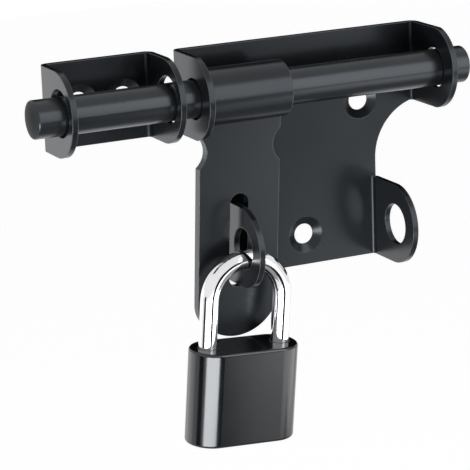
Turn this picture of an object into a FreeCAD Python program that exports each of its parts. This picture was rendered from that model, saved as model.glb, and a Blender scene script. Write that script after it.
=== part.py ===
"""Padbolt: a hasp-and-bolt for a door or gate, locked by a padlock through the plate's lug.

The origin lies on the door face under the middle of the main plate, level with the bolt's axis.
+X runs along the bolt away from its nose, -Y comes out of the door towards the user, +Z is up.
"""
import FreeCAD, Part
import os
import re
import Sketcher

V = FreeCAD.Vector
doc = FreeCAD.newDocument("padbolt")

# Driving dimensions, in millimetres and degrees
SIZES = {
    # Folded sheet of the main plate and the keeper
    "sheet": 2.5,
    "bend_inside": 1.5,
    "band_width": 117.5,
    "band_height": 35.0,
    "ear_reach": 37.5,
    "ear_shoulder": 23.5,
    "ear_bore": 8.8,
    "lug_drop": 67.2,
    "lug_shift": 0.2,
    "lug_reach": 37.5,
    "lug_eye": 8.95,
    "waist_inset": 1.2,
    "waist_arc": 25.0,
    "screw_hole": 9.0,
    "screw_sink": 16.2,
    "sink_angle": 120.0,
    "screw_shift": 1.5,
    "upper_screw_apart": 56.8,
    "upper_screw_level": -14.7,
    "lower_screw_level": -71.3,
    # Keeper
    "keeper_left": -118.3,
    "keeper_width": 50.3,
    "keeper_height": 36.0,
    "keeper_reach": 35.0,
    "keeper_bore": 10.0,
    "keeper_screw_apart": 20.0,
    "keeper_screw_shift": 1.45,
    # Bolt rod
    "rod_radius": 8.0,
    "rod_depth": 21.5,
    "rod_nose": -131.9,
    "rod_end": 70.0,
    "rod_rim": 0.8,
    "nose_dome": 1.3,
    "rest_gap": 0.9,
    # Hasp
    "hasp_gauge": 4.0,
    "roll_fit": 0.05,
    "ear_gap": 0.3,
    "hasp_width": 37.6,
    "hasp_bottom": -109.0,
    "hasp_lean": 6.1,
    "hasp_offset": 0.5,
    "hasp_seam": 0.5,
    "hasp_heel_arc": 5.0,
    "slot_width": 8.5,
    "slot_top": -44.0,
    "slot_bottom": -86.4,
    "notch_level": -24.3,
    "notch_depth": 3.3,
    "notch_arc": 9.0,
    "tongue_start": -93.0,
    "tongue_arc": 13.0,
    # Padlock as a whole
    "padlock_tilt": 3.9,
    "padlock_lean": 2.4,
    "crown_forward": 1.8,
    "crown_gap": 0.42,
    # Shackle
    "bar_radius": 4.0,
    "leg_half": 17.15,
    "crown_to_body": 38.2,
    "toe_depth": 13.0,
    "toe_room": 1.0,
    "heel_depth": 27.0,
    "neck_radius": 2.9,
    "neck_top": 12.5,
    "neck_length": 12.0,
    # Padlock body
    "lock_width": 50.2,
    "lock_thick": 22.0,
    "lock_height": 42.2,
    "lock_edge": 1.2,
    "leg_fit": 0.3,
    "spring_room": 10.0,
    "spring_slack": 0.4,
    # Locking mechanism
    "plug_radius": 6.5,
    "plug_length": 24.5,
    "plug_recess": 0.4,
    "turn_fit": 0.05,
    "dog_height": 5.0,
    "dog_width": 8.0,
    "dog_reach": 8.0,
    "dog_level": 8.0,
    "dog_fit": 0.2,
    "cam_height": 11.0,
    "cam_flat": 4.4,
    "tail_width": 10.4,
    "tail_height": 1.6,
    "tail_thick": 2.4,
    "keyway_width": 2.2,
    "keyway_height": 9.0,
    "keyway_across": -0.6,
    "keyway_short": 3.5,
    "pin_count": 5,
    "pin_pitch": 3.6,
    "pin_first": 4.2,
    "pin_radius": 1.4,
    "pin_fit": 0.06,
    "pin_hole_start": 0.6,
    "driver_length": 5.0,
    "stop_length": 3.4,
    "stop_recess": 0.15,
    "wire": 0.45,
    "cross_pin": 1.25,
    "cross_pin_level": 17.0,
    "cross_pin_recess": 0.3,
    "groove_depth": 1.6,
    "heel_pin_reach": 17.0,
    "side_gap": 0.1,
    "stop_fit": 0.02,
    # How far a cutting shape runs past what it cuts, and a half-round end's arc past half its width
    "overrun": 2.0,
    "arc_slack": 0.001,
}

# Places and fits that follow from the sizes
PLACES = {
    "hasp_middle": "(sheet + ear_gap + hasp_width / 2 - band_width / 2)",
    "lug_side": "(sheet / 2 - hasp_middle - lug_shift)",
    "waist_half": "(lug_side - waist_inset)",
    "bend_outside": "(sheet + bend_inside)",
    "band_flat": "(band_width / 2 - bend_outside)",
    "roll_bore": "(rod_radius + roll_fit)",
    "roll_outside": "(roll_bore + hasp_gauge)",
    "lock_top": "(0 - crown_to_body)",
    "lock_foot": "(lock_top - lock_height)",
    "plug_foot": "(lock_foot + plug_recess)",
    "plug_top": "(plug_foot + plug_length)",
    "cam_foot": "(plug_top + side_gap)",
    "dog_at": "(lock_top - dog_level)",
    "dog_nose": "(dog_height / 2)",
    "dog_back": "(plug_radius + side_gap)",
    "dog_nose_at": "(dog_back + dog_reach - dog_nose)",
    "heel_foot": "(lock_top - heel_depth)",
    "neck_start": "(lock_top - neck_top)",
    "leg_bore": "(bar_radius + leg_fit)",
    "plug_bore": "(plug_radius + turn_fit)",
    "pin_bore": "(pin_radius + pin_fit)",
    "plug_pin_out": "(plug_radius - groove_depth)",
    "plug_pin_at": "(lock_foot + cross_pin_level)",
    "heel_pin_across": "(0 - leg_half + neck_radius + cross_pin + side_gap)",
    "heel_pin_at": "(neck_start - cross_pin - side_gap * 2)",
    "stop_end": "(lock_width / 2 - stop_recess)",
    "stop_face": "(stop_end - stop_length)",
}

# How far each key pin stands short of the plug's rim, from the mouth inwards
KEY_PIN_SHORT = [1.4, 0.6, 2.0, 1.0, 1.7]

sheet = doc.addObject("Spreadsheet::Sheet", "sizes")
for row, (alias, size) in enumerate(SIZES.items(), start=1):
    sheet.set("A%d" % row, alias)
    sheet.set("B%d" % row, str(size))
    sheet.setAlias("B%d" % row, alias)
doc.recompute()


def cell(formula):
    """The formula with each size written as its cell and each place as its own formula."""
    def written(found):
        word = found.group()
        if word in PLACES:
            return cell(PLACES[word])
        return "sizes." + word if word in SIZES else word

    return re.sub(r"[A-Za-z_]\w*", written, formula)


def value(formula):
    """The number that a formula gives now."""
    return float(sheet.evalExpression(cell(formula)))


def plane_of(body, role):
    return [part for part in body.Origin.OriginFeatures if part.Role == role][0]


def new_body(label):
    body = doc.addObject("PartDesign::Body", label)
    body.Label = label
    return body


def new_sketch(body, name, role, offset=None):
    """A sketch on one of the body's own planes, shifted along the plane's normal."""
    sketch = body.newObject("Sketcher::SketchObject", name)
    sketch.AttachmentSupport = [(plane_of(body, role), "")]
    sketch.MapMode = "FlatFace"
    if offset:
        sketch.setExpression("AttachmentOffset.Base.z", cell(offset))
    doc.recompute()
    return sketch


def bind(sketch, kind, *where, formula):
    """One constraint whose value follows the sheet."""
    index = sketch.addConstraint(Sketcher.Constraint(kind, *where, value(formula)))
    sketch.setExpression("Constraints[%d]" % index, cell(formula))


def pin(sketch, geometry, end, across=None, along=None):
    """Hold one end of a line or arc, or a centre, at formulas for its two coordinates."""
    if across is not None:
        bind(sketch, "DistanceX", -1, 1, geometry, end, formula=across)
    if along is not None:
        bind(sketch, "DistanceY", -1, 1, geometry, end, formula=along)


def add_circle(sketch, across, along, radius):
    circle = Part.Circle(V(value(across), value(along), 0), V(0, 0, 1), value(radius))
    geometry = sketch.addGeometry(circle, False)
    pin(sketch, geometry, 3, across, along)
    bind(sketch, "Radius", geometry, formula=radius)
    return geometry


def add_outline(sketch, corners):
    """A closed outline through corners (across, along, bulge).

    A bulge is None for a straight run to the next corner, or a formula for the radius of the
    arc to it: positive where the arc turns to the left, negative where it turns to the right.
    """
    points = [V(value(across), value(along), 0) for across, along, bulge in corners]
    runs = []
    for index, (across, along, bulge) in enumerate(corners):
        start = points[index]
        end = points[(index + 1) % len(points)]
        if bulge is None:
            geometry = sketch.addGeometry(Part.LineSegment(start, end), False)
            runs.append((geometry, 1, 2))
        else:
            radius = value(bulge)
            chord = end - start
            side = V(-chord.y, chord.x, 0).normalize() * (1 if radius > 0 else -1)
            rise = (radius ** 2 - (chord.Length / 2) ** 2) ** 0.5
            centre = (start + end) * 0.5 + side * rise
            middle = centre - side * abs(radius)
            geometry = sketch.addGeometry(Part.Arc(start, middle, end), False)
            runs.append((geometry, 1, 2) if radius > 0 else (geometry, 2, 1))
            bind(sketch, "Radius", geometry, formula="abs(%s)" % bulge)
        pin(sketch, geometry, runs[-1][1], across, along)
    for run, following in zip(runs, runs[1:] + runs[:1]):
        sketch.addConstraint(Sketcher.Constraint("Coincident", run[0], run[2], following[0], following[1]))


def add_pad(body, sketch, length, both_ways=False):
    pad = body.newObject("PartDesign::Pad", sketch.Name + "_pad")
    pad.Profile = sketch
    pad.setExpression("Length", cell(length))
    if both_ways:
        pad.SideType = "Symmetric"
    sketch.Visibility = False
    doc.recompute()
    return pad


def cut_through(body, sketch):
    """Cut the sketch's outline out of everything before and behind it."""
    before = body.Shape.Volume
    pocket = body.newObject("PartDesign::Pocket", sketch.Name + "_cut")
    pocket.Profile = sketch
    pocket.Type = "ThroughAll"
    pocket.SideType = "Symmetric"
    doc.recompute()
    if body.Shape.Volume > before - 1.0:
        raise RuntimeError(pocket.Name + " cut nothing")
    return pocket


def add_screw_holes(body, name, places):
    """Countersunk holes, sunk from the face that looks away from the door."""
    sketch = new_sketch(body, name, "XZ_Plane", "sheet")
    for across, along in places:
        add_circle(sketch, across, along, "screw_hole / 2")
    doc.recompute()
    before = body.Shape.Volume
    hole = body.newObject("PartDesign::Hole", name + "_hole")
    hole.Profile = sketch
    doc.recompute()
    hole.ThreadType = "None"
    hole.HoleCutType = "Countersink"
    hole.HoleCutCustomValues = True
    hole.DepthType = "ThroughAll"
    hole.setExpression("Diameter", cell("screw_hole"))
    hole.setExpression("HoleCutDiameter", cell("screw_sink"))
    hole.setExpression("HoleCutCountersinkAngle", cell("sink_angle"))
    doc.recompute()
    if body.Shape.Volume > before - 1.0:
        raise RuntimeError(hole.Name + " cut nothing")


def fillet_edges(body, name, radius, wanted):
    """Round the edges that pass the test."""
    base = body.Tip
    edges = ["Edge%d" % number for number, edge in enumerate(base.Shape.Edges, start=1) if wanted(edge)]
    if not edges:
        raise RuntimeError("no edge for " + name)
    fillet = body.newObject("PartDesign::Fillet", name)
    fillet.Base = (base, edges)
    fillet.setExpression("Radius", cell(radius))
    doc.recompute()
    return fillet


def add_channel(body, name, left, right, level, height, out):
    """Folded channel: the back sheet and two ears, bent up from one piece of sheet."""
    bend = "bend_outside"
    back = "(0 - sheet)"
    reach = "(0 - %s)" % out
    sketch = new_sketch(body, name, "XY_Plane", "%s - (%s) / 2" % (level, height))
    add_outline(sketch, [
        ("%s + %s" % (left, bend), "0", None),
        ("%s - %s" % (right, bend), "0", "0 - %s" % bend),
        (right, "0 - %s" % bend, None),
        (right, reach, None),
        ("%s - sheet" % right, reach, None),
        ("%s - sheet" % right, "0 - %s" % bend, "bend_inside"),
        ("%s - %s" % (right, bend), back, None),
        ("%s + %s" % (left, bend), back, "bend_inside"),
        ("%s + sheet" % left, "0 - %s" % bend, None),
        ("%s + sheet" % left, reach, None),
        (left, reach, None),
        (left, "0 - %s" % bend, "0 - %s" % bend),
    ])
    return add_pad(body, sketch, height)


def shape_ears(body, name, level, height, out, shoulder):
    """Round the fronts of a channel's two ears, each side by an arc that ends at the shoulder."""
    drop = "(%s - %s)" % (out, shoulder)
    front = "((%s ^ 2 + (%s / 2) ^ 2) / (2 * %s))" % (drop, height, drop)
    past = "0 - %s - overrun" % out
    for side, word in ((1, "top"), (-1, "foot")):
        edge = "%s + %d * %s / 2" % (level, side, height)
        beyond = "%s + %d * (%s / 2 + overrun)" % (level, side, height)
        sketch = new_sketch(body, "%s_%s" % (name, word), "YZ_Plane")
        add_outline(sketch, [
            ("0 - %s" % out, level, "%d * %s" % (-side, front)),
            ("0 - %s" % shoulder, edge, None),
            ("0 - %s" % shoulder, beyond, None),
            (past, beyond, None),
            (past, level, None),
        ])
        cut_through(body, sketch)


def drill_ears(body, name, level, bore):
    """One round hole through both ears of a channel, at the bolt's depth."""
    sketch = new_sketch(body, name, "YZ_Plane")
    add_circle(sketch, "0 - rod_depth", level, bore)
    cut_through(body, sketch)


def make_main_plate():
    """One folded sheet: a wide band with the bolt's two ears, a waist, and two lugs below."""
    body = new_body("main_plate")
    lug_level = "(0 - lug_drop)"
    add_channel(body, "band", "(0 - band_width / 2)", "(band_width / 2)", "0", "band_height", "ear_reach")
    add_channel(body, "lugs", "(0 - lug_side)", "lug_side", lug_level, "band_height", "lug_reach")
    waist = new_sketch(body, "waist", "XZ_Plane")
    top = "(0 - band_height / 2)"
    foot = "(band_height / 2 - lug_drop)"
    centre = "(%s - sqrt(waist_arc ^ 2 - (waist_half + waist_arc - band_flat) ^ 2))" % top
    add_outline(waist, [
        ("0 - band_flat", top, "0 - waist_arc"),
        ("0 - waist_half", centre, None),
        ("0 - waist_half", foot, None),
        ("waist_half", foot, None),
        ("waist_half", centre, "0 - waist_arc"),
        ("band_flat", top, None),
    ])
    add_pad(body, waist, "sheet")
    shape_ears(body, "ear", "0", "band_height", "ear_reach", "ear_shoulder")
    shape_ears(body, "lug", lug_level, "band_height", "lug_reach", "(lug_reach - band_height / 2)")
    drill_ears(body, "ear_bore", "(ear_bore - rod_radius - rest_gap)", "ear_bore")
    drill_ears(body, "lug_eye", lug_level, "lug_eye")
    add_screw_holes(body, "plate_screws", [
        ("screw_shift - upper_screw_apart / 2", "upper_screw_level"),
        ("screw_shift + upper_screw_apart / 2", "upper_screw_level"),
        ("screw_shift", "lower_screw_level"),
    ])
    return body


def make_keeper():
    """Folded channel that takes the bolt's nose on the door frame, its ears fully rounded."""
    body = new_body("keeper")
    right = "(keeper_left + keeper_width)"
    add_channel(body, "channel", "keeper_left", right, "0", "keeper_height", "keeper_reach")
    shape_ears(body, "ear", "0", "keeper_height", "keeper_reach", "(keeper_reach - keeper_height / 2)")
    drill_ears(body, "keeper_bore", "(keeper_bore - rod_radius - rest_gap)", "keeper_bore")
    middle = "keeper_left + keeper_width / 2 + keeper_screw_shift"
    add_screw_holes(body, "keeper_screws", [
        ("%s - keeper_screw_apart / 2" % middle, "0"),
        ("%s + keeper_screw_apart / 2" % middle, "0"),
    ])
    return body


def make_bolt_rod():
    """Round bar, rounded at both rims, its nose turned to a shallow dome."""
    body = new_body("bolt_rod")
    sketch = new_sketch(body, "half_section", "XY_Plane")
    axis = "(0 - rod_depth)"
    side = "(0 - rod_depth - rod_radius)"
    rim = "(0 - rod_depth - rod_radius + rod_rim)"
    dome = "(((rod_radius - rod_rim) ^ 2 + nose_dome ^ 2) / (2 * nose_dome))"
    add_outline(sketch, [
        ("rod_nose", axis, None),
        ("rod_end", axis, None),
        ("rod_end", rim, "0 - rod_rim"),
        ("rod_end - rod_rim", side, None),
        ("rod_nose + nose_dome + rod_rim", side, "0 - rod_rim"),
        ("rod_nose + nose_dome", rim, "0 - %s" % dome),
    ])
    turn = body.newObject("PartDesign::Revolution", "rod_turn")
    turn.Profile = sketch
    turn.ReferenceAxis = (sketch, ["Edge1"])
    turn.Angle = 360
    doc.recompute()
    return body


def hasp_front(level):
    """How far out the hanging plate's front face is at a level."""
    return "(0 - rod_depth - hasp_offset - (%s) * tan(hasp_lean * 1 deg))" % level


def heel_edge(edge):
    """The inner corner behind the barrel, where the hanging plate leaves it."""
    middle = edge.CenterOfMass
    below = -value("roll_outside") - 1 < middle.z < -value("rod_radius")
    return below and middle.y > 1 - value("rod_depth") and edge.BoundBox.XLength > value("hasp_width / 2")


def make_hasp():
    """Thick sheet rolled round the bolt, hanging down over the plate's left lug."""
    body = new_body("hasp")
    thick = "(hasp_gauge / cos(hasp_lean * 1 deg))"
    plate = new_sketch(body, "plate", "YZ_Plane", "hasp_middle")
    root = "(0 - roll_bore - hasp_gauge / 4)"
    add_outline(plate, [
        (hasp_front(root), root, None),
        (hasp_front("hasp_bottom"), "hasp_bottom", None),
        ("%s + %s" % (hasp_front("hasp_bottom"), thick), "hasp_bottom", None),
        ("%s + %s" % (hasp_front(root), thick), root, None),
    ])
    add_pad(body, plate, "hasp_width", both_ways=True)
    barrel = new_sketch(body, "barrel", "YZ_Plane", "hasp_middle")
    add_circle(barrel, "0 - rod_depth", "0", "roll_outside")
    add_pad(body, barrel, "hasp_width", both_ways=True)
    fillet_edges(body, "heel", "hasp_heel_arc", heel_edge)
    rolled = new_sketch(body, "rolled_bore", "YZ_Plane")
    add_circle(rolled, "0 - rod_depth", "0", "roll_bore")
    cut_through(body, rolled)
    cut_seam(body)
    slot = new_sketch(body, "slot", "XZ_Plane")
    left = "hasp_middle - slot_width / 2"
    right = "hasp_middle + slot_width / 2"
    add_outline(slot, [
        (left, "slot_top - slot_width / 2", None),
        (left, "slot_bottom + slot_width / 2", "slot_width / 2 + arc_slack"),
        (right, "slot_bottom + slot_width / 2", None),
        (right, "slot_top - slot_width / 2", "slot_width / 2 + arc_slack"),
    ])
    cut_through(body, slot)
    for side, word in ((-1, "left"), (1, "right")):
        notch = new_sketch(body, "notch_" + word, "XZ_Plane")
        notch_across = "hasp_middle + %d * (hasp_width / 2 - notch_depth + notch_arc)" % side
        add_circle(notch, notch_across, "notch_level", "notch_arc")
        cut_through(body, notch)
        round_tongue(body, side, word)
    return body


def cut_seam(body):
    """The narrow gap left where the rolled sheet's end meets the plate again."""
    seam = new_sketch(body, "seam", "YZ_Plane")
    high = "(0 - rod_radius / 2)"
    low = "(0 - roll_outside - overrun)"
    add_outline(seam, [
        ("%s - hasp_seam" % hasp_front(high), high, None),
        ("%s - hasp_seam" % hasp_front(low), low, None),
        (hasp_front(low), low, None),
        (hasp_front(high), high, None),
    ])
    cut_through(body, seam)


def round_tongue(body, side, word):
    """Round one side of the foot: a tight arc below the straight rim, then a wide one to the middle."""
    inner = "(hasp_width / 2 - tongue_arc)"
    fall = "(tongue_start - hasp_bottom)"
    wide = "((%s ^ 2 + %s ^ 2 - tongue_arc ^ 2) / (2 * (%s - tongue_arc)))" % (inner, fall, fall)
    share = "(%s / (%s - tongue_arc))" % (wide, wide)
    rim = "hasp_middle + %d * hasp_width / 2" % side
    beyond = "hasp_middle + %d * (hasp_width / 2 + overrun)" % side
    meet = "hasp_middle + %d * %s * %s" % (side, inner, share)
    meet_level = "hasp_bottom + %s - (%s - %s) * %s" % (wide, wide, fall, share)
    tongue = new_sketch(body, "tongue_" + word, "XZ_Plane")
    add_outline(tongue, [
        (rim, "tongue_start", "%d * tongue_arc" % -side),
        (meet, meet_level, "%d * %s" % (-side, wide)),
        ("hasp_middle", "hasp_bottom", None),
        ("hasp_middle", "hasp_bottom - overrun", None),
        (beyond, "hasp_bottom - overrun", None),
        (beyond, "tongue_start", None),
    ])
    cut_through(body, tongue)


def set_place(thing, across, out, up, axis="Z"):
    """Place a primitive by formulas, its length running along an axis."""
    turns = {"Z": (V(0, 0, 1), 0), "X": (V(0, 1, 0), 90), "Y": (V(1, 0, 0), -90)}
    thing.Placement = FreeCAD.Placement(V(0, 0, 0), FreeCAD.Rotation(*turns[axis]))
    for letter, formula in (("x", across), ("y", out), ("z", up)):
        thing.setExpression("Placement.Base." + letter, cell(formula))
    return thing


def cylinder(name, radius, height, across, out, up, axis="Z"):
    thing = doc.addObject("Part::Cylinder", name)
    thing.setExpression("Radius", cell(radius))
    thing.setExpression("Height", cell(height))
    return set_place(thing, across, out, up, axis)


def box(name, wide, deep, high, across, out, up):
    """A block whose middle is at the place in X and Y, and whose foot is at the level."""
    thing = doc.addObject("Part::Box", name)
    thing.setExpression("Length", cell(wide))
    thing.setExpression("Width", cell(deep))
    thing.setExpression("Height", cell(high))
    return set_place(thing, "(%s) - (%s) / 2" % (across, wide), "(%s) - (%s) / 2" % (out, deep), up)


def fuse(name, pieces):
    thing = doc.addObject("Part::MultiFuse", name)
    thing.Shapes = pieces
    thing.Refine = True
    doc.recompute()
    return thing


def cut(name, base, tool):
    thing = doc.addObject("Part::Cut", name)
    thing.Base = base
    thing.Tool = tool
    doc.recompute()
    return thing


def pin_level(number):
    return "(plug_foot + pin_first + %d * pin_pitch)" % number


def key_pin_end(number):
    """How far from the plug's axis a key pin's outer end stands."""
    return "(plug_radius - %s)" % KEY_PIN_SHORT[number]


def make_shackle():
    """Round bar bent to a U, notched for the locking dogs, its long leg necked for the heel pin."""
    crown = doc.addObject("Part::Torus", "crown")
    crown.setExpression("Radius1", cell("leg_half"))
    crown.setExpression("Radius2", cell("bar_radius"))
    crown.Angle3 = 180
    crown.Placement = FreeCAD.Placement(V(0, 0, 0), FreeCAD.Rotation(V(1, 0, 0), 90))
    crown.setExpression("Placement.Base.z", cell("0 - leg_half"))
    pieces = [
        crown,
        cylinder("toe_leg", "bar_radius", "crown_to_body - leg_half + toe_depth",
                 "leg_half", "0", "lock_top - toe_depth"),
        cylinder("heel_leg", "bar_radius", "crown_to_body - leg_half + neck_top",
                 "0 - leg_half", "0", "neck_start"),
        cylinder("neck", "neck_radius", "neck_length", "0 - leg_half", "0", "neck_start - neck_length"),
        cylinder("collar", "bar_radius", "heel_depth - neck_top - neck_length",
                 "0 - leg_half", "0", "heel_foot"),
    ]
    notches = [cylinder("notch_" + word, "dog_nose + side_gap", "bar_radius * 2 + overrun",
                        "%d * dog_nose_at" % side, "0 - bar_radius - overrun / 2", "dog_at", "Y")
               for side, word in ((1, "toe"), (-1, "heel"))]
    return cut("shackle", fuse("bent_bar", pieces), fuse("dog_notches", notches))


def make_lock_body():
    """Rounded block, bored for the legs, the plug and the pins, with a way across for the dogs."""
    body = new_body("lock_block")
    outline = new_sketch(body, "lock_outline", "XY_Plane", "lock_foot")
    round_end = "(lock_width / 2 - lock_thick / 2)"
    half = "lock_thick / 2"
    add_outline(outline, [
        ("0 - %s" % round_end, "0 - %s" % half, None),
        (round_end, "0 - %s" % half, "%s + arc_slack" % half),
        (round_end, half, None),
        ("0 - %s" % round_end, half, "%s + arc_slack" % half),
    ])
    add_pad(body, outline, "lock_height")
    fillet_edges(body, "lock_rims", "lock_edge", lambda edge: edge.BoundBox.ZLength < 0.01)
    rooms = [
        cylinder("toe_bore", "leg_bore", "toe_depth + toe_room + overrun", "leg_half", "0",
                 "lock_top - toe_depth - toe_room"),
        cylinder("heel_bore", "leg_bore", "heel_depth + spring_room + overrun", "0 - leg_half", "0",
                 "heel_foot - spring_room"),
        cylinder("plug_room", "plug_bore", "cam_foot + cam_height + side_gap - lock_foot + overrun",
                 "0", "0", "lock_foot - overrun"),
        box("dog_way", "leg_half * 2", "dog_width + dog_fit * 2", "dog_height + dog_fit * 2",
            "0", "0", "dog_at - dog_nose - dog_fit"),
        cylinder("plug_pin_bore", "cross_pin + stop_fit", "lock_thick", "0", "plug_pin_out", "plug_pin_at",
                 "Y"),
        cylinder("heel_pin_bore", "cross_pin + stop_fit", "heel_pin_reach + overrun", "heel_pin_across",
                 "lock_thick / 2 - heel_pin_reach", "heel_pin_at", "Y"),
    ]
    for number in range(int(value("pin_count"))):
        rooms.append(cylinder("chamber_%d" % number, "pin_bore", "lock_width / 2 + overrun - plug_radius / 2",
                              "plug_radius / 2", "0", pin_level(number), "X"))
    return cut("padlock_body", body, fuse("lock_rooms", rooms))


def make_plug():
    """Turning cylinder with the keyway, the pin holes, a groove and a slot for the cam's tail."""
    barrel = cylinder("plug_barrel", "plug_radius", "plug_length", "0", "0", "plug_foot")
    keyway = box("keyway", "keyway_height", "keyway_width", "plug_length - keyway_short + overrun",
                 "keyway_across", "0", "plug_foot - overrun")
    tail_slot = box("tail_slot", "plug_radius * 2 + overrun", "tail_thick + side_gap * 2",
                    "tail_height + overrun", "0", "0", "plug_top - tail_height")
    groove_half = "(cross_pin + side_gap)"
    ring = cylinder("groove_ring", "plug_radius + overrun", "%s * 2" % groove_half, "0", "0",
                    "plug_pin_at - %s" % groove_half)
    core = cylinder("groove_core", "plug_pin_out - side_gap", "%s * 2" % groove_half, "0", "0",
                    "plug_pin_at - %s" % groove_half)
    tools = [keyway, tail_slot, cut("groove", ring, core)]
    for number in range(int(value("pin_count"))):
        tools.append(cylinder("pin_hole_%d" % number, "pin_bore", "plug_radius + overrun", "pin_hole_start",
                              "0", pin_level(number), "X"))
    return cut("plug", barrel, fuse("plug_cuts", tools))


def make_cam():
    """Block over the plug that holds the dogs out, with a tail in the plug's slot."""
    head = cylinder("cam_head", "plug_radius", "cam_height", "0", "0", "cam_foot")
    flats = box("cam_flats", "plug_radius * 2 + overrun", "cam_flat * 2", "cam_height", "0", "0", "cam_foot")
    block = doc.addObject("Part::MultiCommon", "cam_block")
    block.Shapes = [head, flats]
    tail = box("cam_tail", "tail_width", "tail_thick", "tail_height + side_gap", "0", "0",
               "cam_foot - tail_height")
    return fuse("cam", [block, tail])


def make_dog(side, word):
    """Sliding bar with a half-round nose that the cam holds in the shackle's notch."""
    length = "(dog_reach - dog_nose)"
    bar = box("dog_bar_" + word, length, "dog_width", "dog_height", "%d * (dog_back + %s / 2)" % (side, length),
              "0", "dog_at - dog_nose")
    nose = cylinder("dog_nose_" + word, "dog_nose", "dog_width", "%d * dog_nose_at" % side,
                    "0 - dog_width / 2", "dog_at", "Y")
    return fuse("locking_dog_" + word, [bar, nose])


def make_spring(label, radius, length, across, out, up, axis="Z"):
    """Close-wound spring, as a sleeve of the coil's size."""
    coil = cylinder(label + "_coil", radius, length, across, out, up, axis)
    hollow = cylinder(label + "_hollow", "%s - wire" % radius, length, across, out, up, axis)
    return cut(label, coil, hollow)


def make_pin_stack(number):
    """One chamber's key pin, driver pin, spring and stop, from the plug's middle outwards."""
    level = pin_level(number)
    name = str(number + 1)
    key_start = "(pin_hole_start + side_gap)"
    key_end = key_pin_end(number)
    driver_start = "(%s + side_gap)" % key_end
    driver_end = "(%s + driver_length)" % driver_start
    return [
        cylinder("key_pin_" + name, "pin_radius", "%s - %s" % (key_end, key_start), key_start, "0", level, "X"),
        cylinder("driver_pin_" + name, "pin_radius", "driver_length", driver_start, "0", level, "X"),
        make_spring("pin_spring_" + name, "(pin_radius - side_gap)", "stop_face - %s" % driver_end,
                    driver_end, "0", level, "X"),
        cylinder("pin_stop_" + name, "pin_bore - stop_fit", "stop_length", "stop_face", "0", level, "X"),
    ]


def make_mechanism():
    """Dogs, pins, springs and stops, each where the locked padlock holds it."""
    pieces = [
        make_dog(1, "toe"),
        make_dog(-1, "heel"),
        cylinder("plug_pin", "cross_pin", "lock_thick / 2 - plug_pin_out - cross_pin_recess", "0",
                 "plug_pin_out", "plug_pin_at", "Y"),
        cylinder("heel_pin", "cross_pin", "heel_pin_reach - cross_pin_recess", "heel_pin_across",
                 "lock_thick / 2 - heel_pin_reach", "heel_pin_at", "Y"),
        make_spring("shackle_spring", "(bar_radius - spring_slack)", "spring_room", "0 - leg_half", "0",
                    "heel_foot - spring_room"),
    ]
    for number in range(int(value("pin_count"))):
        pieces += make_pin_stack(number)
    return pieces


def hang_padlock(pieces):
    """Rest the padlock's crown in the left lug's eye, tilted, its back leaning towards the hasp."""
    doc.recompute()
    drop = value("sqrt((lug_eye - bar_radius - crown_gap) ^ 2 - crown_forward ^ 2)")
    crown_at = V(value("hasp_middle"), value("0 - rod_depth - crown_forward"), value("0 - lug_drop") - drop)
    tilt = FreeCAD.Rotation(V(0, 1, 0), value("padlock_tilt"))
    lean = FreeCAD.Rotation(V(1, 0, 0), value("padlock_lean"))
    hung = FreeCAD.Placement(crown_at, lean.multiply(tilt))
    for piece in pieces:
        own = piece.Placement
        for path, formula in list(piece.ExpressionEngine):
            if "Placement" in path:
                piece.setExpression(path, None)
        piece.Placement = hung.multiply(own)


def write_out(pieces):
    """Check every feature and each piece's solid, then write one file a piece."""
    doc.recompute()
    for thing in doc.Objects:
        if "Invalid" in thing.State or "Error" in thing.State:
            raise RuntimeError("failed: " + thing.Label)
    os.makedirs("parts", exist_ok=True)
    for piece in pieces:
        shape = piece.Shape
        if shape.isNull() or not shape.isValid() or len(shape.Solids) != 1:
            raise RuntimeError("no single sound solid: " + piece.Label)
        shape.exportStep("parts/%s.step" % piece.Label)


frame_pieces = [make_main_plate(), make_keeper(), make_bolt_rod(), make_hasp()]
lock_pieces = [make_shackle(), make_lock_body(), make_plug(), make_cam()] + make_mechanism()
hang_padlock(lock_pieces)
write_out(frame_pieces + lock_pieces)
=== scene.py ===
"""Looks of the padbolt: black coated plates, hasp and bolt, satin padlock and chromed shackle."""
import math

import bpy
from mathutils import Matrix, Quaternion, Vector


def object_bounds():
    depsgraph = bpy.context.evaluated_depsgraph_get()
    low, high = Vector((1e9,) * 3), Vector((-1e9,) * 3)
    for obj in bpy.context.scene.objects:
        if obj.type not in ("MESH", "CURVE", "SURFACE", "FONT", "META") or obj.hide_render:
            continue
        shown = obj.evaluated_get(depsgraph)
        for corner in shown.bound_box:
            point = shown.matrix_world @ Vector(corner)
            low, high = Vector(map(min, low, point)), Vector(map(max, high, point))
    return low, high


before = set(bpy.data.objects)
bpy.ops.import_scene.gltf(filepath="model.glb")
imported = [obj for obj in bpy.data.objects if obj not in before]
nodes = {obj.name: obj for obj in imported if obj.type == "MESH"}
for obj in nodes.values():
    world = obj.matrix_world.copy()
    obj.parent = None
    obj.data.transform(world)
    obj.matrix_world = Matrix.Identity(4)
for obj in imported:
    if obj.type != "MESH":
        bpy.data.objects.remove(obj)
cad_low, cad_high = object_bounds()

# The photograph's view: where the camera stands, what it looks at, its lean and its lens
CAMERA_PLACE = Vector((-0.46681, -0.91019, 0.20362))
CAMERA_AIM = Vector((-0.04122, -0.0200, -0.06119))
CAMERA_LEAN = math.radians(-1.982)
CAMERA_NEAR = 0.01
CAMERA_FAR = 100.0
SENSOR_WIDTH = 36.0
LENS = 184.86

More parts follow.
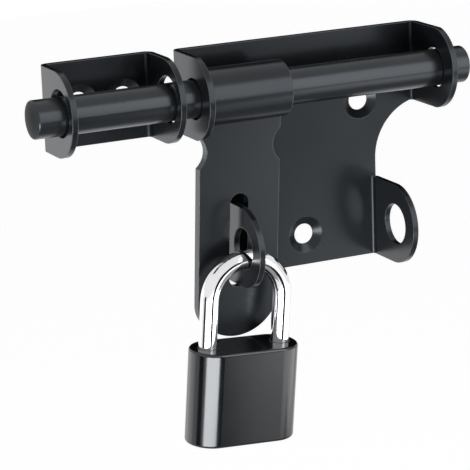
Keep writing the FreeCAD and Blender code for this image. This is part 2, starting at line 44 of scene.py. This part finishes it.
# The stage
STUDIO_MIDDLE = Vector((-0.035, -0.02, -0.06))
PADLOCK_MIDDLE = Vector((-0.044, -0.022, -0.132))
KEEPER_MIDDLE = Vector((-0.095, -0.003, 0.0))
FLOOR_DROP = 0.90
FLOOR_SIZE = 12.0
FLOOR_TONE = 0.80
FLOOR_ROUGHNESS = 0.9
FLOOR_LIFT = 0.55
SURROUND_LIGHT = 0.5
SURROUND_SEEN = 1.0
FLAG_BLACK = 0.004
WHITE = (1.0, 1.0, 1.0, 1.0)

# Soft boxes: name, what each faces, degrees round from the front and up, distance, size and
# brightness
LAMPS = [
    ("low box", PADLOCK_MIDDLE, -29, -17.5, 0.6, (0.638, 0.19), 10.9),
    ("right box", PADLOCK_MIDDLE, 62, -17.5, 0.7, (0.91, 0.20), 1.65),
    ("tall box", STUDIO_MIDDLE, 31, 20, 1.5, (0.8, 1.4), 2.3),
    ("rear box", STUDIO_MIDDLE, -140, -12, 1.5, (1.3, 0.9), 0.70),
]

# Black cards, which a studio calls flags, given in the same way
FLAGS = [
    ("middle flag", PADLOCK_MIDDLE, 11.0, -17, 0.27, (0.118, 0.28)),
    ("keeper flag", KEEPER_MIDDLE, 23, -15, 0.7, (0.21, 0.25)),
    ("side flag", PADLOCK_MIDDLE, -81, -15, 0.7, (0.26, 0.4)),
    ("back flag", PADLOCK_MIDDLE, 154, 30, 0.45, (0.50, 0.42)),
]

# The grey card that lies below the bolt and the lugs, facing up
LOW_FLAG_PLACE = Vector((0.07, -0.115, -0.30))
LOW_FLAG_AIM = Vector((0.07, -0.115, 0))
LOW_FLAG_SIZE = (0.44, 0.27)
LOW_FLAG_GREY = 0.5

# Sprayed coat: how fine its peel and its drift are, where the drift turns dark and light, how far
# it moves the gloss, and how wide and how crisp the painted highlight along its edges is
PEEL_SCALE = 1400.0
PEEL_DETAIL = 3.0
DRIFT_SCALE = 38.0
DRIFT_DETAIL = 4.0
COAT_DARK_AT = 0.35
LIGHT_AT = 0.7
GLOSSIER = 0.04
DULLER = 0.05
RIM_WIDTH = 0.0005
RIM_SHARPNESS = 2.0
RIM_SAMPLES = 8
# Painted highlight: a pale colour mixed into the coat's base colour along its edges
RIM_HIGHLIGHT_COLOUR = (0.20, 0.22, 0.24)
GRAIN_DEPTH = 0.0001

# A sawn end, by how squarely it faces along the rod, and its gloss
SAWN_FROM = 0.85
SAWN_FULL = 0.97
SAWN_ROUGHNESS = 0.62
TURNED_SHINE = 0.5
SAWN_SHINE = 0.22

# Bare metal's drift, where it turns dark, and how much darker its dark patches are
METAL_DRIFT_SCALE = 60.0
METAL_DARK_AT = 0.3
METAL_SHADE = 0.93

# The padlock's pin stacks, from the key's side inwards
PINS = range(1, 6)


def new_material(name):
    """A material, its node tree and its Principled shader."""
    material = bpy.data.materials.new(name)
    material.use_nodes = True
    tree = material.node_tree
    shader = tree.nodes["Principled BSDF"]
    return material, tree, shader


def add_node(tree, kind, place=(0, 0), **settings):
    """A node of a kind, at a place in the tree's drawing, with its settings."""
    node = tree.nodes.new(kind)
    node.location = place
    for name, value in settings.items():
        setattr(node, name, value)
    return node


def set_ramp(ramp, dark_at, dark, light_at, light):
    """Two colours of a ramp and where they stand."""
    for stop, position, colour in zip(ramp.elements, (dark_at, light_at), (dark, light)):
        stop.position = position
        stop.color = (*colour, 1.0)


def make_painted_edge_highlight_group():
    """Mask that is white along outer edges, where the coat gets a painted highlight, and the
    bevel's rounded normal.
    """
    group = bpy.data.node_groups.new("painted edge highlight", "ShaderNodeTree")
    for name in ("Width", "Sharpness"):
        group.interface.new_socket(name, in_out="INPUT", socket_type="NodeSocketFloat")
    group.interface.new_socket("Mask", in_out="OUTPUT", socket_type="NodeSocketFloat")
    group.interface.new_socket("Normal", in_out="OUTPUT", socket_type="NodeSocketVector")
    entry = add_node(group, "NodeGroupInput", (-600, 0))
    bevel = add_node(group, "ShaderNodeBevel", (-400, 0), samples=RIM_SAMPLES)
    surface = add_node(group, "ShaderNodeNewGeometry", (-400, -200))
    dot = add_node(group, "ShaderNodeVectorMath", (-200, 0), operation="DOT_PRODUCT")
    turn = add_node(group, "ShaderNodeMath", (0, 0), operation="SUBTRACT", use_clamp=True)
    turn.inputs[0].default_value = 1.0
    gain = add_node(group, "ShaderNodeMath", (150, 0), operation="MULTIPLY", use_clamp=True)
    leave = add_node(group, "NodeGroupOutput", (350, 0))
    link = group.links.new
    link(entry.outputs["Width"], bevel.inputs["Radius"])
    link(bevel.outputs["Normal"], dot.inputs[0])
    link(surface.outputs["Normal"], dot.inputs[1])
    link(dot.outputs["Value"], turn.inputs[1])
    link(turn.outputs[0], gain.inputs[0])
    link(entry.outputs["Sharpness"], gain.inputs[1])
    link(gain.outputs[0], leave.inputs["Mask"])
    link(bevel.outputs["Normal"], leave.inputs["Normal"])
    return group


def make_coat_grain_group():
    """Height and tone of a sprayed coat: fine orange peel over a slow drift."""
    group = bpy.data.node_groups.new("coat grain", "ShaderNodeTree")
    for name in ("Peel scale", "Drift scale"):
        group.interface.new_socket(name, in_out="INPUT", socket_type="NodeSocketFloat")
    for name in ("Height", "Tone"):
        group.interface.new_socket(name, in_out="OUTPUT", socket_type="NodeSocketFloat")
    entry = add_node(group, "NodeGroupInput", (-600, 0))
    place = add_node(group, "ShaderNodeTexCoord", (-600, -200))
    peel = add_node(group, "ShaderNodeTexNoise", (-300, 100), noise_dimensions="3D")
    peel.inputs["Detail"].default_value = PEEL_DETAIL
    drift = add_node(group, "ShaderNodeTexNoise", (-300, -200), noise_dimensions="3D")
    drift.inputs["Detail"].default_value = DRIFT_DETAIL
    leave = add_node(group, "NodeGroupOutput", (0, 0))
    link = group.links.new
    link(place.outputs["Object"], peel.inputs["Vector"])
    link(place.outputs["Object"], drift.inputs["Vector"])
    link(entry.outputs["Peel scale"], peel.inputs["Scale"])
    link(entry.outputs["Drift scale"], drift.inputs["Scale"])
    link(peel.outputs["Fac"], leave.inputs["Height"])
    link(drift.outputs["Fac"], leave.inputs["Tone"])
    return group


PAINTED_EDGE_HIGHLIGHT = make_painted_edge_highlight_group()
COAT_GRAIN = make_coat_grain_group()


def make_coat(name, dark, light, roughness, peel, index, tint=(0.86, 0.93, 1.0)):
    """Sprayed black coat: slight drift in tone and gloss, orange peel, and a painted highlight
    along its edges.
    """
    material, tree, shader = new_material(name)
    grain = add_node(tree, "ShaderNodeGroup", (-900, 0), node_tree=COAT_GRAIN)
    grain.inputs["Peel scale"].default_value = PEEL_SCALE
    grain.inputs["Drift scale"].default_value = DRIFT_SCALE
    rim_highlight = add_node(tree, "ShaderNodeGroup", (-900, -300), node_tree=PAINTED_EDGE_HIGHLIGHT)
    rim_highlight.inputs["Width"].default_value = RIM_WIDTH
    rim_highlight.inputs["Sharpness"].default_value = RIM_SHARPNESS
    shader.inputs["Specular Tint"].default_value = (*tint, 1.0)
    shader.inputs["IOR"].default_value = index
    tone = add_node(tree, "ShaderNodeValToRGB", (-650, 200))
    set_ramp(tone.color_ramp, COAT_DARK_AT, dark, LIGHT_AT, light)
    # Painted highlight: the pale edge colour mixed into the base colour along edges; the bevel
    # normal fed to the bump below is real rounding
    highlighted = add_node(tree, "ShaderNodeMix", (-350, 200), data_type="RGBA")
    highlighted.inputs["B"].default_value = (*RIM_HIGHLIGHT_COLOUR, 1.0)
    gloss = add_node(tree, "ShaderNodeMapRange", (-350, 0))
    gloss.inputs["To Min"].default_value = roughness - GLOSSIER
    gloss.inputs["To Max"].default_value = roughness + DULLER
    bump = add_node(tree, "ShaderNodeBump", (-350, -250))
    bump.inputs["Strength"].default_value = peel
    bump.inputs["Distance"].default_value = GRAIN_DEPTH
    link = tree.links.new
    link(grain.outputs["Tone"], tone.inputs["Fac"])
    link(tone.outputs["Color"], highlighted.inputs["A"])
    link(rim_highlight.outputs["Mask"], highlighted.inputs["Factor"])
    link(highlighted.outputs["Result"], shader.inputs["Base Color"])
    link(grain.outputs["Tone"], gloss.inputs["Value"])
    link(gloss.outputs["Result"], shader.inputs["Roughness"])
    link(grain.outputs["Height"], bump.inputs["Height"])
    link(rim_highlight.outputs["Normal"], bump.inputs["Normal"])
    link(bump.outputs["Normal"], shader.inputs["Normal"])
    return material


def dull_ends(material):
    """Sawn ends of a rod that lies along X: duller than its turned side."""
    tree = material.node_tree
    shader = tree.nodes["Principled BSDF"]
    turned = shader.inputs["Roughness"].links[0].from_socket
    place = add_node(tree, "ShaderNodeTexCoord", (-900, 500))
    parts = add_node(tree, "ShaderNodeSeparateXYZ", (-700, 500))
    along = add_node(tree, "ShaderNodeMath", (-550, 500), operation="ABSOLUTE")
    sawn = add_node(tree, "ShaderNodeMapRange", (-400, 500))
    sawn.inputs["From Min"].default_value = SAWN_FROM
    sawn.inputs["From Max"].default_value = SAWN_FULL
    rough = add_node(tree, "ShaderNodeMix", (-150, 300), data_type="FLOAT")
    rough.inputs["B"].default_value = SAWN_ROUGHNESS
    shine = add_node(tree, "ShaderNodeMapRange", (-150, 500))
    shine.inputs["To Min"].default_value = TURNED_SHINE
    shine.inputs["To Max"].default_value = SAWN_SHINE
    link = tree.links.new
    link(place.outputs["Normal"], parts.inputs["Vector"])
    link(parts.outputs["X"], along.inputs[0])
    link(along.outputs["Value"], sawn.inputs["Value"])
    link(sawn.outputs["Result"], rough.inputs["Factor"])
    link(turned, rough.inputs["A"])
    link(rough.outputs["Result"], shader.inputs["Roughness"])
    link(sawn.outputs["Result"], shine.inputs["Value"])
    link(shine.outputs["Result"], shader.inputs["Specular IOR Level"])


def make_metal(name, colour, roughness, mark_scale, mark_strength):
    """Bare metal with fine drawn marks."""
    material, tree, shader = new_material(name)
    shader.inputs["Metallic"].default_value = 1.0
    grain = add_node(tree, "ShaderNodeGroup", (-900, 0), node_tree=COAT_GRAIN)
    grain.inputs["Peel scale"].default_value = mark_scale
    grain.inputs["Drift scale"].default_value = METAL_DRIFT_SCALE
    tone = add_node(tree, "ShaderNodeValToRGB", (-600, 200))
    shaded = [part * METAL_SHADE for part in colour]
    set_ramp(tone.color_ramp, METAL_DARK_AT, shaded, LIGHT_AT, colour)
    gloss = add_node(tree, "ShaderNodeMapRange", (-350, 0))
    gloss.inputs["To Min"].default_value = roughness
    gloss.inputs["To Max"].default_value = roughness + DULLER
    bump = add_node(tree, "ShaderNodeBump", (-350, -250))
    bump.inputs["Strength"].default_value = mark_strength
    bump.inputs["Distance"].default_value = GRAIN_DEPTH
    link = tree.links.new
    link(grain.outputs["Tone"], tone.inputs["Fac"])
    link(tone.outputs["Color"], shader.inputs["Base Color"])
    link(grain.outputs["Tone"], gloss.inputs["Value"])
    link(gloss.outputs["Result"], shader.inputs["Roughness"])
    link(grain.outputs["Height"], bump.inputs["Height"])
    link(bump.outputs["Normal"], shader.inputs["Normal"])
    return material


def dress(material, *names):
    """Give CAD nodes a material in place of their own."""
    for name in names:
        piece = nodes[name]
        piece.data.materials.clear()
        piece.data.materials.append(material)


def dress_object():
    """Coats on what is sprayed, chrome on the shackle, brass and steel on the hidden works."""
    plate_coat = make_coat("plate coat", dark=(0.0045, 0.0056, 0.0070),
                           light=(0.0065, 0.0078, 0.0095), roughness=0.25, peel=0.14, index=1.40)
    hasp_coat = make_coat("hasp coat", dark=(0.0050, 0.0061, 0.0075),
                          light=(0.0070, 0.0083, 0.0100), roughness=0.25, peel=0.13, index=1.43)
    rod_coat = make_coat("rod coat", dark=(0.0050, 0.0060, 0.0073),
                         light=(0.0068, 0.0080, 0.0094), roughness=0.26, peel=0.10, index=1.5)
    dull_ends(rod_coat)
    shell_coat = make_coat("padlock coat", dark=(0.0035, 0.0043, 0.0052),
                           light=(0.0050, 0.0060, 0.0072), roughness=0.17, peel=0.04, index=1.6,
                           tint=(0.93, 0.965, 1.0))
    chrome = make_metal("shackle chrome", (0.80, 0.80, 0.82), roughness=0.06,
                        mark_scale=900.0, mark_strength=0.02)
    brass = make_metal("plug brass", (0.44, 0.32, 0.15), roughness=0.30,
                       mark_scale=1500.0, mark_strength=0.10)
    steel = make_metal("pin steel", (0.58, 0.58, 0.58), roughness=0.30,
                       mark_scale=1500.0, mark_strength=0.10)
    dress(plate_coat, "main_plate", "keeper")
    dress(hasp_coat, "hasp")
    dress(rod_coat, "bolt_rod")
    dress(shell_coat, "padlock_body", "plug_pin", "heel_pin")
    dress(chrome, "shackle")
    dress(brass, "plug", "cam")
    dress(steel, "locking_dog_toe", "locking_dog_heel", "shackle_spring")
    for number in PINS:
        dress(shell_coat, "pin_stop_%d" % number)
        dress(brass, "key_pin_%d" % number, "driver_pin_%d" % number)
        dress(steel, "pin_spring_%d" % number)


def add_background_mask(tree):
    """One where the camera, a gloss or a clear piece looks at the surface, zero for its light."""
    path = add_node(tree, "ShaderNodeLightPath", (-900, 300))
    seen = add_node(tree, "ShaderNodeMath", (-700, 300), operation="MAXIMUM")
    shown = add_node(tree, "ShaderNodeMath", (-500, 300), operation="MAXIMUM")
    tree.links.new(path.outputs["Is Camera Ray"], seen.inputs[0])
    tree.links.new(path.outputs["Is Glossy Ray"], seen.inputs[1])
    tree.links.new(seen.outputs[0], shown.inputs[0])
    tree.links.new(path.outputs["Is Transmission Ray"], shown.inputs[1])
    return shown.outputs[0]


def add_plane(name, size, place):
    """A flat square for the stage."""
    bpy.ops.object.select_all(action="DESELECT")
    bpy.ops.mesh.primitive_plane_add(size=size, location=place)
    plane = bpy.context.object
    plane.name = name
    return plane


def make_floor():
    """Plain pale floor that looks white and still darkens in the object's shadow."""
    floor = add_plane("floor", FLOOR_SIZE, (0, 0, cad_low.z - FLOOR_DROP))
    material, tree, shader = new_material("floor white")
    shader.inputs["Base Color"].default_value = (FLOOR_TONE, FLOOR_TONE, FLOOR_TONE, 1.0)
    shader.inputs["Roughness"].default_value = FLOOR_ROUGHNESS
    glow = add_node(tree, "ShaderNodeEmission", (0, -300))
    glow.inputs["Color"].default_value = WHITE
    lift = add_node(tree, "ShaderNodeMath", (-300, -300), operation="MULTIPLY")
    lift.inputs[1].default_value = FLOOR_LIFT
    both = add_node(tree, "ShaderNodeAddShader", (300, 0))
    out = tree.nodes["Material Output"]
    link = tree.links.new
    link(add_background_mask(tree), lift.inputs[0])
    link(lift.outputs[0], glow.inputs["Strength"])
    link(shader.outputs[0], both.inputs[0])
    link(glow.outputs[0], both.inputs[1])
    link(both.outputs[0], out.inputs["Surface"])
    floor.data.materials.append(material)


def make_world():
    """Studio surround: white to the camera and in gloss, softer as light."""
    world = bpy.data.worlds.new("studio")
    bpy.context.scene.world = world
    world.use_nodes = True
    tree = world.node_tree
    tree.nodes.clear()
    soft = add_node(tree, "ShaderNodeBackground", (0, 0))
    soft.inputs["Color"].default_value = WHITE
    soft.inputs["Strength"].default_value = SURROUND_LIGHT
    white = add_node(tree, "ShaderNodeBackground", (0, -200))
    white.inputs["Color"].default_value = WHITE
    white.inputs["Strength"].default_value = SURROUND_SEEN
    mix = add_node(tree, "ShaderNodeMixShader", (250, 0))
    out = add_node(tree, "ShaderNodeOutputWorld", (450, 0))
    link = tree.links.new
    link(add_background_mask(tree), mix.inputs[0])
    link(soft.outputs[0], mix.inputs[1])
    link(white.outputs[0], mix.inputs[2])
    link(mix.outputs[0], out.inputs["Surface"])


def around(middle, azimuth, height, distance):
    """A place round a middle: azimuth in degrees from the front, positive to the right."""
    turn = math.radians(azimuth)
    rise = math.radians(height)
    level = distance * math.cos(rise)
    up = distance * math.sin(rise)
    return middle + Vector((level * math.sin(turn), -level * math.cos(turn), up))


def add_lamp(name, place, aim, size, brightness):
    """Soft box facing a point, of a brightness where 1 is the white surround's."""
    data = bpy.data.lights.new(name, "AREA")
    data.shape = "RECTANGLE"
    data.size, data.size_y = size
    data.energy = brightness * math.pi * size[0] * size[1]
    lamp = bpy.data.objects.new(name, data)
    lamp.location = place
    lamp.rotation_mode = "QUATERNION"
    lamp.rotation_quaternion = (aim - place).to_track_quat("-Z", "Y")
    bpy.context.scene.collection.objects.link(lamp)


def add_flag(name, place, aim, size, shade):
    """Card facing a point, which darkens what a gloss shows of that side and nothing else."""
    flag = add_plane(name, 1.0, place)
    flag.scale = (size[0], size[1], 1.0)
    flag.rotation_mode = "QUATERNION"
    flag.rotation_quaternion = (aim - place).to_track_quat("Z", "Y")
    material, tree, shader = new_material(name + " card")
    shader.inputs["Base Color"].default_value = (shade, shade, shade, 1.0)
    shader.inputs["Roughness"].default_value = 1.0
    shader.inputs["Specular IOR Level"].default_value = 0.0
    path = add_node(tree, "ShaderNodeLightPath", (-300, 300))
    clear = add_node(tree, "ShaderNodeBsdfTransparent", (0, 300))
    mix = add_node(tree, "ShaderNodeMixShader", (300, 100))
    link = tree.links.new
    link(path.outputs["Is Glossy Ray"], mix.inputs[0])
    link(clear.outputs[0], mix.inputs[1])
    link(shader.outputs[0], mix.inputs[2])
    link(mix.outputs[0], tree.nodes["Material Output"].inputs["Surface"])
    flag.data.materials.append(material)


def make_studio():
    """The soft boxes and the flags, each at its place and facing its point."""
    for name, middle, azimuth, height, distance, size, brightness in LAMPS:
        add_lamp(name, around(middle, azimuth, height, distance), middle, size, brightness)
    for name, middle, azimuth, height, distance, size in FLAGS:
        add_flag(name, around(middle, azimuth, height, distance), middle, size, FLAG_BLACK)
    add_flag("low flag", LOW_FLAG_PLACE, LOW_FLAG_AIM, LOW_FLAG_SIZE, LOW_FLAG_GREY)


def make_camera():
    """The camera at the photograph's angle."""
    data = bpy.data.cameras.new("camera")
    data.sensor_width = SENSOR_WIDTH
    data.lens = LENS
    data.clip_start = CAMERA_NEAR
    data.clip_end = CAMERA_FAR
    camera = bpy.data.objects.new("camera", data)
    camera.location = CAMERA_PLACE
    camera.rotation_mode = "QUATERNION"
    look = (CAMERA_AIM - CAMERA_PLACE).to_track_quat("-Z", "Y")
    camera.rotation_quaternion = look @ Quaternion((0, 0, 1), CAMERA_LEAN)
    bpy.context.scene.collection.objects.link(camera)
    bpy.context.scene.camera = camera


dress_object()
make_floor()
make_world()
make_studio()
make_camera()
bpy.context.scene.view_settings.view_transform = "Standard"
